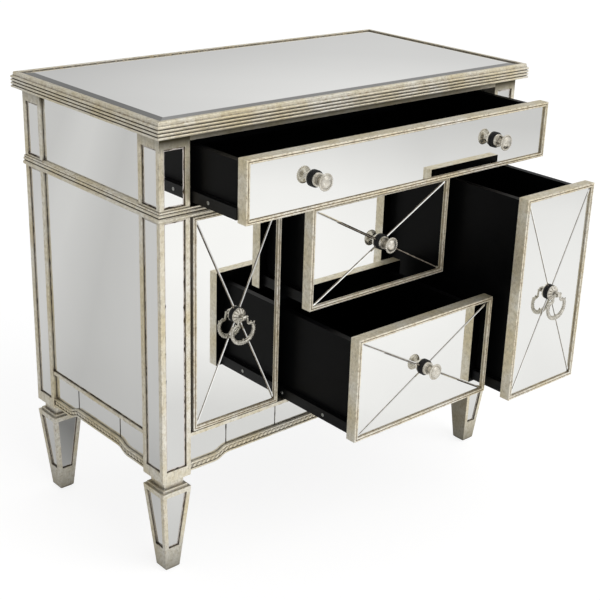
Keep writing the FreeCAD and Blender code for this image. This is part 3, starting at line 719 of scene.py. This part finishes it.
# Drawers: a leafed front with a lip round its mirror, a black box, and steel rails held on by zinc screws.
# The lip has two beads with a brown line between them. The wide drawer has one pane. The others have four
# bevelled panes that meet in an X, with grey putty between them.

seam_depth = 0.9 * mm
seam_section = [(-0.9, -0.1), (-0.9, 0.3), (-0.6, 0.5), (0.6, 0.5), (0.9, 0.3), (0.9, -0.1)]


def fill_seam(shape, start, end):
    """Fills the groove between two panes with putty, from corner to corner."""
    steps = 40
    uneven = 0.3
    wave = 12 * mm
    way = (end - start).normalized()
    across = way.cross(Vector((0, 1, 0)))
    rows = []
    for step in range(1, steps):
        base = start.lerp(end, step / steps) + Vector((0, seam_depth, 0))
        wide = 1 + uneven * noise.noise(base / wave)
        row = []
        for side, height in seam_section:
            row.append(shape.verts.new(base + (across * (side * wide) - Vector((0, height, 0))) * mm))
        rows.append(row)
    skin(shape, rows)


front_arris = 1.0 * mm
front_leaf = leaf_finish("silver_leaf_fronts", (0.2, 1, 0.2), front=True)
brown_wax = wax_finish("brown_wax", "#4f4130", "#86745a")
grey_putty = wax_finish("grey_putty", "#5f584e", "#968d80")
rail_screw_end = 74 * mm
rail_screw_radius = 3.2 * mm
rail_screw_height = 0.9 * mm

zinc = Finish(bpy.data.materials.new("bright_zinc"))
zinc_bloom = zinc.cloud(1.5 * mm, detail=3)
zinc.set(zinc.coat, {
    "Base Color": zinc.blend(zinc_bloom, tone("#8d8f8e"), tone("#c3c4bf")),
    "Metallic": 0.9,
    "Roughness": zinc.span(zinc_bloom, 0.3, 0.7, 0.28, 0.42),
})
zinc.relief(zinc_bloom, 0.02 * mm)

outer_bead = (-7.3, -4.4)
inner_bead = (-3.2, -0.3)
bead_bulge = 0.8
bead_foot = -0.1
line_section = [(-4.6, bedded, 0), (-4.6, 0.12, 0), (-3.0, 0.12, 0), (-3.0, bedded, 0)]
lip_wax_section = [(tucked, bedded, 0), (tucked, 0.5, 0), (0.6, 0.15, 0.5), (0.6, bedded, 0.5)]


def lip_piece(name, outline, sections, finish, body):
    """Runs sections round a drawer's lip, where outline is its inner edge."""
    shape = bmesh.new()
    for section in sections:
        run_round(shape, outline, Vector((0, -1, 0)), section)
    add_piece(name, shape, finish, body)


for drawer in ("top", "upper_middle", "lower_middle", "left", "right"):
    body = drawer + "_drawer"
    dress(body + "_front", front_leaf, front_arris)
    dress(body + "_box", lacquer)
    dress(body + "_rails", steel)
    silver_plane = silvered_panes(body + "_mirror", body)[0][0][0].y
    low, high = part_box(body + "_mirror")
    lip_corners = ((low.x, low.z), (high.x, low.z), (high.x, high.z), (low.x, high.z))
    lip_outline = [Vector((x, silver_plane, z)) for x, z in lip_corners]
    lip_piece(drawer + "_sight_lines", lip_outline, [lip_wax_section], brown_wax, body)
    lip_edge = [Vector((corner.x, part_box(body + "_front")[0].y, corner.z)) for corner in lip_outline]
    beads = []
    for start, end in (outer_bead, inner_bead):
        bead = [(across, height, 0) for height, across in half_round(0, start, end, bead_bulge, 7)]
        beads.append([(start, bead_foot, 0)] + bead + [(end, bead_foot, 0)])
    lip_piece(drawer + "_lip_beads", lip_edge, beads, front_leaf, body)
    lip_piece(drawer + "_lip_line", lip_edge, [line_section], brown_wax, body)
    if drawer != "top":
        seam_shape = bmesh.new()
        fill_seam(seam_shape, lip_outline[0], lip_outline[2])
        fill_seam(seam_shape, lip_outline[1], lip_outline[3])
        add_piece(drawer + "_pane_seams", seam_shape, grey_putty, body)
    low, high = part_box(body + "_rails")
    rail_screws = bmesh.new()
    for x, way in ((low.x, -1), (high.x, 1)):
        for y in (low.y + rail_screw_end, (low.y + high.y) / 2, high.y - rail_screw_end):
            at = Vector((x, y, (low.z + high.z) / 2))
            screw_head(rail_screws, at, Vector((way, 0, 0)), rail_screw_radius, rail_screw_height)
    add_piece(drawer + "_rail_screws", rail_screws, zinc, body)


# Knobs: cast and turned, in antique nickel. A dished collar seats on a black rubber washer on the glass, and
# a neck carries a flat head with a beaded rim and a low dome. A screw from inside the front holds it.

def turned(shape, profile, at, out, around=48, ripple=None, closed=False):
    """Turns a profile of (radius, height) points about the line through at along out. ripple may change a
    point's radius and height by its turn."""
    side = out.orthogonal().normalized()
    up = out.cross(side)
    rings = []
    for radius, height in profile:
        turns = [2 * math.pi * index / around for index in range(around)] if radius > 0 else [0]
        ring = []
        for turn in turns:
            r, h = ripple(radius, height, turn) if ripple else (radius, height)
            ray = side * math.cos(turn) + up * math.sin(turn)
            ring.append(shape.verts.new(at + ray * r + out * h))
        rings.append(ring)
    for lower, upper in zip(rings, rings[1:] + rings[:1] if closed else rings[1:]):
        for near in range(around):
            far = (near + 1) % around
            loop = [lower[near % len(lower)], lower[far % len(lower)],
                    upper[far % len(upper)], upper[near % len(upper)]]
            shape.faces.new(list(dict.fromkeys(loop)))


def in_metres(section, scale=1):
    """A section of (radius, height) points that was written in millimetres."""
    return [(radius * scale * mm, height * scale * mm) for radius, height in section]


def nickel_finish(name, bright, dull, tarnish):
    """Antique nickel, dark in its hollows and in patches of tarnish."""
    metal = Finish(bpy.data.materials.new(name))
    mottle = metal.cloud(3 * mm, detail=4)
    colour = metal.blend(metal.span(mottle, 0.35, 0.7), tone(bright), tone(dull))
    patches = metal.span(metal.cloud(8 * mm, detail=3), 0.45, 0.66, 0, tarnish)
    colour = metal.blend(patches, colour, tone("#5a5345"))
    shelter = metal.node("AmbientOcclusion", {"Distance": 6 * mm}, samples=8).outputs["AO"]
    patina = metal.span(shelter, 0.78, 0.32)
    metal.set(metal.coat, {
        "Base Color": metal.blend(patina, colour, tone("#332b20")),
        "Metallic": metal.span(patina, 0, 1, 0.85, 0.2),
        "Roughness": metal.span(mottle, 0.3, 0.7, 0.18, 0.34),
    })
    metal.relief(mottle, 0.05 * mm)
    return metal


nickel = nickel_finish("antique_nickel", "#f0ece2", "#cdc5b4", 0.2)

rubber = Finish(bpy.data.materials.new("black_rubber"))
rubber_grain = rubber.cloud(1.2 * mm, detail=3)
rubber.set(rubber.coat, {
    "Base Color": rubber.blend(rubber_grain, tone("#0c0c0d"), tone("#1b1b1d")),
    "Roughness": rubber.span(rubber_grain, 0.3, 0.7, 0.5, 0.68),
    "Specular IOR Level": 0.3,
})
rubber.relief(rubber_grain, 0.04 * mm)

outwards = Vector((0, -1, 0))
washer_radius = 14.8 * mm
washer_height = 2.6 * mm
washer_bore = 2.9 * mm
glass_thickness = 4 * mm
silver_depth = glass_thickness / glass_index
screw_section = [(0, -23.3), (2.4, -23.2), (3.9, -22.5), (4.5, -21.5), (4.5, -20.7), (2.5, -20.7)]
knob_section = screw_section + [
    (2.5, 2.6), (11.4, 2.6), (12.0, 3.2), (12.0, 7.9), (11.6, 8.7), (10.9, 9.0), (9.7, 9.0), (9.1, 8.7),
    (8.6, 7.9), (7.9, 7.3), (6.9, 7.0), (6.2, 7.4), (5.6, 8.6), (5.1, 11.5), (5.0, 14.5), (5.4, 17.5),
    (6.6, 20.0), (9.2, 21.4), (12.2, 22.3), (14.2, 23.2), (15.0, 24.3), (15.0, 25.4), (14.3, 26.2),
    (13.2, 26.3), (12.5, 25.9), (11.9, 26.0), (11.5, 26.8), (10.3, 28.2), (8.4, 29.5), (5.9, 30.4),
    (3.0, 30.9), (0, 31.0),
]
bead_count = 26
bead_radius = 1.55 * mm
bead_circle = 14.0 * mm
bead_level = 25.3 * mm


def washers(drawer, pulls):
    """A round-edged rubber washer behind each pull, down to the silver that mirrors it."""
    round_edge = 0.6 * mm
    section = [
        (washer_bore, -silver_depth), (washer_radius - round_edge, -silver_depth),
        (washer_radius, -silver_depth + round_edge), (washer_radius, washer_height - round_edge),
        (washer_radius - 0.3 * round_edge, washer_height - 0.3 * round_edge),
        (washer_radius - round_edge, washer_height), (washer_bore, washer_height),
    ]
    shape = bmesh.new()
    for at in pulls:
        turned(shape, section, at, outwards, closed=True)
    body = drawer + "_drawer"
    add_piece(drawer + "_rubber_washers", shape, rubber, body, [body + "_washers"])


def pull_places(node, glass_plane):
    """Where each pull's axis meets the glass."""
    shape = bmesh.new()
    shape.from_mesh(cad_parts[node].data)
    bmesh.ops.remove_doubles(shape, verts=shape.verts, dist=0.001 * mm)
    places = []
    for part in loose_parts(shape):
        xs = [corner.co.x for corner in part]
        zs = [corner.co.z for corner in part]
        places.append(Vector(((min(xs) + max(xs)) / 2, glass_plane, (min(zs) + max(zs)) / 2)))
    shape.free()
    return places


for drawer in ("top", "upper_middle", "lower_middle"):
    body = drawer + "_drawer"
    pulls = pull_places(body + "_knobs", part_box(body + "_washers")[1].y)
    washers(drawer, pulls)
    knob_shape = bmesh.new()
    for at in pulls:
        turned(knob_shape, in_metres(knob_section), at, outwards)
        for index in range(bead_count):
            turn = 2 * math.pi * index / bead_count
            across = Vector((math.cos(turn), 0, math.sin(turn))) * bead_circle
            bead_at = Matrix.Translation(at + across + outwards * bead_level)
            bmesh.ops.create_uvsphere(knob_shape, u_segments=10, v_segments=6, radius=bead_radius,
                                      matrix=bead_at)
    add_piece(drawer + "_turned_knobs", knob_shape, nickel, body, [body + "_knobs"])


# Ring pulls: cast in antique nickel. A fluted rosette on a rubber washer carries an eye, and a wreath ring
# with leafy shoulders hangs from a straight pin through the eye and swings up from the glass.

rosette_radius = 14.5
rosette_petals = 12
rosette_shoulder = rosette_radius - 0.6
rosette_post = 3.2
eye_stand = 16 * mm
rosette_section = screw_section + [(2.5, 2.6), (rosette_radius - 0.5, 2.6), (rosette_radius, 3.1)]
rosette_section += [(rosette_radius, 4.0), (rosette_radius, 5.6), (rosette_shoulder, 6.5)]
for step in range(1, 9):
    share = step / 8
    radius = rosette_shoulder * (1 - share) + rosette_post * share
    rosette_section.append((radius, 6.5 + 3.4 * math.sin(share * math.pi / 2)))
rosette_section += [(rosette_post, eye_stand / mm - 2), (0, eye_stand / mm - 2)]
sideways = Vector((1, 0, 0))
eye_section = [(2.7, -3.5), (4.5, -3.5), (5.2, -2.7), (5.2, 2.7), (4.5, 3.5), (2.7, 3.5)]
pin_section = [(0, -10.6), (2.0, -10.6), (2.6, -10.0), (2.6, 10.0), (2.0, 10.6), (0, 10.6)]
ring_half = [
    (9.2, 0.0, 1.9), (10.4, 5.0, 1.9), (10.8, 10.0, 2.1), (12.6, 13.2, 2.5), (16.6, 13.6, 2.9),
    (20.6, 14.8, 3.1), (23.6, 18.6, 3.1), (24.6, 25.0, 3.1), (23.6, 31.5, 3.2), (20.4, 37.8, 3.4),
    (15.4, 42.9, 3.8), (8.4, 46.2, 4.1), (0.0, 47.2, 4.3),
]
leaf_section = [(0, -1.2), (1.3, -0.4), (1.9, 0.8), (1.8, 2.2), (1.2, 3.8), (0.5, 5.0), (0, 5.5)]
shoulder_leaves = [
    (16.8, 13.4, 0.2, 0.98, 0.95), (22.6, 15.6, 0.72, 0.69, 1.1), (25.2, 21.0, 0.95, 0.31, 0.8),
]
foot_leaves = [
    (21.5, 36.0, -0.45, -0.89, 0.9), (17.0, 41.5, -0.75, -0.66, 1.0), (10.5, 45.6, -0.95, -0.3, 1.1),
]
bud = Vector((0, -1.0, -45.5))
bud_scale = 1.2

ring_nickel = nickel_finish("tarnished_nickel", "#e9e5da", "#b9b3a5", 0.5)


def flute(radius, height, turn):
    """Draws a rosette's rim in between its petals, and sinks a line from the rim towards the middle."""
    flat_middle = 4.5
    petal_run = 6
    plain_edge = 4.05 * mm
    draw_in = 0.06
    depth = 2.1 * mm
    out = min(1, max(0, radius / mm - flat_middle) / petal_run) if height > plain_edge else 0
    valley = 1 - abs(math.cos(rosette_petals * turn / 2)) ** 0.6
    return radius * (1 - draw_in * out * valley), height - depth * out * valley


def smooth_path(points, steps):
    """Rounds off a path of (across, down, thickness) points that goes through each of them."""
    made = []
    ends = [points[0]] + points + [points[-1]]
    for before, first, second, after in zip(ends, ends[1:], ends[2:], ends[3:]):
        for step in range(steps):
            t = step / steps
            made.append([
                b + 0.5 * t * (c - a + t * (2 * a - 5 * b + 4 * c - d + t * (3 * b - a - 3 * c + d)))
                for a, b, c, d in zip(before, first, second, after)
            ])
    made.append(list(points[-1]))
    return made


def wreath(shape, eye):
    """The ring: two arms down from the pin, level shoulders, carved sides and a thick foot."""
    around = 16
    carving_start = 15
    carving_run = 6
    carving_depth = 0.32
    carving_pitch = 1.5
    carving_slant = 1.8
    whole = ring_half + [(-across, down, thick) for across, down, thick in reversed(ring_half[:-1])]
    path = smooth_path(whole, 8)
    rows = []
    travelled = 0.0
    for index, (across, down, thick) in enumerate(path):
        before = path[max(0, index - 1)]
        after = path[min(len(path) - 1, index + 1)]
        travelled += math.hypot(across - before[0], down - before[1])
        way = Vector((after[0] - before[0], 0, before[1] - after[1])).normalized()
        outside = Vector((-way.z, 0, way.x))
        carved = min(1, max(0, (down - carving_start) / carving_run))
        row = []
        for turn_index in range(around):
            turn = 2 * math.pi * turn_index / around
            wave = math.sin(travelled * carving_pitch + carving_slant * math.cos(turn))
            ridge = carving_depth * carved * wave
            ray = outside * math.cos(turn) + Vector((0, 1, 0)) * math.sin(turn)
            row.append(shape.verts.new(eye + (Vector((across, 0, -down)) + ray * (thick + ridge)) * mm))
        rows.append(row)
    skin(shape, rows)


def ring_leaves(shape, eye):
    """Leaf tips on the ring's shoulders, leaves laid along its lower front, and a bud in its foot."""
    leaves = []
    for side in (-1, 1):
        for group, stand, lean in ((shoulder_leaves, 0.4, 0), (foot_leaves, 2.0, 0.25)):
            for across, down, way_x, way_z, scale in group:
                place = Vector((side * across, -stand, -down))
                leaves.append((place, Vector((side * way_x, -lean, way_z)), scale))
    leaves.append((bud, Vector((0, 0, 1)), bud_scale))
    for place, way, scale in leaves:
        turned(shape, in_metres(leaf_section, scale), eye + place * mm, way.normalized(), 14)


for drawer in ("left", "right"):
    body = drawer + "_drawer"
    low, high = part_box(body + "_washers")
    at = Vector(((low.x + high.x) / 2, high.y, (low.z + high.z) / 2))
    washers(drawer, [at])
    rosette_shape = bmesh.new()
    turned(rosette_shape, in_metres(rosette_section), at, outwards, 96, flute)
    eye = at + outwards * eye_stand
    turned(rosette_shape, in_metres(eye_section), eye, sideways, 36, closed=True)
    add_piece(drawer + "_fluted_rosette", rosette_shape, nickel, body, [body + "_rosette"])
    ring_shape = bmesh.new()
    wreath(ring_shape, eye)
    ring_leaves(ring_shape, eye)
    turned(ring_shape, in_metres(pin_section), eye, sideways, 24)
    ring_body = drawer + "_ring"
    add_piece(drawer + "_wreath_ring", ring_shape, ring_nickel, ring_body, [body + "_ring"])


# Studio: a white floor and backdrop, soft light from the front and above, and a camera where the
# photograph's stood. Shiny surfaces see the floor fade to grey away from the chest, and a grey panel in the
# backdrop behind it.

floor_half = 40
floor_shape = bmesh.new()
bmesh.ops.create_grid(floor_shape, x_segments=8, y_segments=8, size=floor_half)
floor_mesh = bpy.data.meshes.new("floor")
floor_shape.to_mesh(floor_mesh)
floor_shape.free()
floor = bpy.data.objects.new("floor", floor_mesh)
bpy.context.scene.collection.objects.link(floor)

paper = Finish(bpy.data.materials.new("studio_paper"))
floor_mesh.materials.append(paper.owner)


def grey_ramp(finish, value, stops):
    """A grey for each value, given as (value, grey) stops."""
    first, last = stops[0][0], stops[-1][0]
    ramp = finish.node("ValToRGB", {0: finish.span(value, first, last)})
    while len(ramp.color_ramp.elements) < len(stops):
        ramp.color_ramp.elements.new(1)
    for element, (place, grey) in zip(ramp.color_ramp.elements, stops):
        element.position = (place - first) / (last - first)
        element.color = (grey, grey, grey, 1)
    return ramp.outputs[0]


def along(way):
    """How far a place on the floor lies along a way."""
    return paper.node("VectorMath", {0: paper.place, 1: way}, operation="DOT_PRODUCT").outputs["Value"]


def shiny(finish, rays):
    """1 for what is seen in a mirror or another shiny surface, and else 0."""
    kinds = {0: rays.outputs["Is Glossy Ray"], 1: rays.outputs["Is Transmission Ray"]}
    return finish.node("Math", kinds, operation="MAXIMUM").outputs[0]


paper_rays = paper.node("LightPath")
front_right = Vector((0.68, -0.735, 0))
back_right = Vector((0.735, 0.68, 0))
band_slant = 0.12
to_front_right = along(front_right)
to_back_right = along(back_right)
# Painted shade in what shiny surfaces see of the floor: it fades to grey away from the chest and in bands to
# the side.
painted_floor_shade = grey_ramp(paper, to_front_right, [
    (-3, 0.385), (-1.3, 0.385), (-0.87, 0.345), (-0.66, 0.28), (-0.3, 0.39), (0, 0.53), (0.37, 0.51),
    (0.46, 0.52), (0.8, 0.69), (1.4, 0.78), (1.9, 0.77), (2.5, 0.71), (3.1, 0.56), (3.6, 0.47),
])
right_fade = grey_ramp(paper, to_back_right, [
    (-0.3, 1), (-0.05, 0.93), (0.1, 0.87), (0.35, 0.89), (0.75, 0.88), (1, 0.35), (1.2, 0.08),
])
front_only = paper.span(to_front_right, 0.5, 0.9)
painted_floor_shade = paper.times(painted_floor_shade, paper.node("Mix", {0: front_only, 2: 1, 3: right_fade}).outputs[0])
side_bands = grey_ramp(paper, along(back_right + front_right * band_slant), [
    (-0.36, 0.5), (-0.29, 0.495), (-0.18, 0.435), (-0.11, 0.5), (-0.04, 0.57), (0.02, 0.56), (0.11, 0.48),
])
behind_only = paper.span(to_front_right, -0.7, -1.1)
side_bands = paper.node("Mix", {0: behind_only, 2: 0.5, 3: side_bands}).outputs[0]
painted_floor_shade = paper.times(painted_floor_shade, paper.span(side_bands, 0, 1, 0, 2.07))
# Painted shadow under the chest, in what shiny surfaces see of the floor.
from_middle = paper.node("VectorMath", {0: paper.place, 1: (0, case_middle.y, 0)}, operation="SUBTRACT")
from_middle = paper.node("VectorMath", {0: from_middle.outputs[0]}, operation="ABSOLUTE").outputs[0]
from_middle = paper.node("SeparateXYZ", {0: from_middle})
shade_wide = 0.46
shade_deep = 0.26
shade_edge = 0.16
shade_x = paper.span(from_middle.outputs["X"], shade_wide, shade_wide - shade_edge)
shade_y = paper.span(from_middle.outputs["Y"], shade_deep, shade_deep - shade_edge)
painted_floor_shade = paper.times(painted_floor_shade, paper.span(paper.times(shade_x, shade_y), 0, 1, 1, 0.25))
paper_glow = paper.node("Mix", {0: paper_rays.outputs["Is Camera Ray"], 2: 0.5, 3: 0.83}).outputs[0]
paper_glow = paper.node("Mix", {0: shiny(paper, paper_rays), 2: paper_glow, 3: painted_floor_shade}).outputs[0]
paper.set(paper.coat, {
    "Base Color": (0.3, 0.3, 0.3, 1),
    "Roughness": 1,
    "Specular IOR Level": 0,
    "Emission Color": (1, 1, 1, 1),
    "Emission Strength": paper_glow,
})

backdrop = Finish(bpy.data.worlds.new("studio"), "Background")
bpy.context.scene.world = backdrop.owner
sky_way = backdrop.node("TexCoord").outputs["Generated"]
sky_x, sky_y, sky_z = backdrop.node("SeparateXYZ", {0: sky_way}).outputs

sky_behind = grey_ramp(backdrop, sky_z, [
    (0, 0.88), (0.12, 0.79), (0.165, 0.65), (0.183, 0.68), (0.195, 0.74), (0.206, 0.8), (0.218, 0.83),
    (0.248, 0.84), (0.268, 0.35), (0.29, 0.275), (0.345, 0.285), (0.43, 0.78), (0.6, 0.88), (1, 0.9),
])
sky_before = grey_ramp(backdrop, sky_z, [
    (0, 0.85), (0.12, 0.75), (0.33, 0.65), (0.5, 0.6), (0.7, 0.7), (0.85, 0.9), (1, 0.7),
])
sky_across = grey_ramp(backdrop, sky_x, [
    (-1, 0.45), (-0.4, 0.48), (0.2, 0.62), (0.49, 0.7), (0.55, 0.8), (0.62, 0.91), (0.665, 0.97),
    (0.705, 1), (1, 0.96),
])
sky_behind = backdrop.node("VectorMath", {0: sky_behind, 1: sky_across}, operation="MULTIPLY").outputs[0]
sky_open = grey_ramp(backdrop, sky_x, [(-1, 0.28), (-0.4, 0.28), (0.2, 0.5), (1, 0.65)])
sky_open = backdrop.blend(backdrop.span(sky_z, 0, 0.12), sky_open, (0.66, 0.66, 0.66, 1))
grey_panel = grey_ramp(backdrop, sky_x, [(0.25, 0), (0.38, 1), (0.78, 1), (0.88, 0)])
sky_behind = backdrop.blend(grey_panel, sky_open, sky_behind)
sky_side = backdrop.span(sky_y, -0.3, 0.3)
sky_seen = backdrop.blend(sky_side, sky_before, sky_behind)
sky_rays = backdrop.node("LightPath")
sky_soft = grey_ramp(backdrop, sky_x, [(-1, 0.16), (0, 0.5), (1, 0.74)])
sky_colour = backdrop.blend(sky_rays.outputs["Is Camera Ray"], sky_soft, (1, 1, 1, 1))
sky_colour = backdrop.blend(shiny(backdrop, sky_rays), sky_colour, sky_seen)
backdrop.set(backdrop.coat, {"Color": sky_colour, "Strength": 1})

for light, strength, spread, way, shines in (
    ("key_light", 0.55, 40, (0.35, -0.75, 0.65), False),
    ("front_light", 1.7, 25, (-0.12, -0.98, 0.12), False),
    ("sparkle_light", 0.3, 55, (0.35, -0.75, 0.65), True),
):
    lamp = bpy.data.objects.new(light, bpy.data.lights.new(light, "SUN"))
    lamp.data.energy = strength
    lamp.data.angle = math.radians(spread)
    lamp.rotation_euler = Vector(way).to_track_quat("Z", "Y").to_euler()
    lamp.visible_glossy = shines
    bpy.context.scene.collection.objects.link(lamp)

camera_turn = math.radians(-42.528)
camera_height = math.radians(21.61)
camera_roll = math.radians(2.244)
camera_distance = 2389.99 * mm
camera_target = Vector((-38.99 * mm, case_middle.y - 178.66 * mm, 459.41 * mm))
picture = 600
picture_middle = Vector((321.06, 293.04))
focal_pixels = 1234.63
sensor = 36

backward = Vector((math.sin(camera_turn) * math.cos(camera_height),
                   -math.cos(camera_turn) * math.cos(camera_height), math.sin(camera_height)))
level_right = Vector((math.cos(camera_turn), math.sin(camera_turn), 0))
level_up = backward.cross(level_right)
camera_right = level_right * math.cos(camera_roll) + level_up * math.sin(camera_roll)
camera_up = level_up * math.cos(camera_roll) - level_right * math.sin(camera_roll)
camera = bpy.data.objects.new("camera", bpy.data.cameras.new("camera"))
camera.data.sensor_width = sensor
camera.data.lens = sensor * focal_pixels / picture
camera.data.shift_x = (picture / 2 - picture_middle.x) / picture
camera.data.shift_y = (picture_middle.y - picture / 2) / picture
camera.matrix_world = Matrix((camera_right, camera_up, backward)).transposed().to_4x4()
camera.location = camera_target + backward * camera_distance
bpy.context.scene.collection.objects.link(camera)
bpy.context.scene.camera = camera
bpy.context.scene.view_settings.view_transform = "Standard"
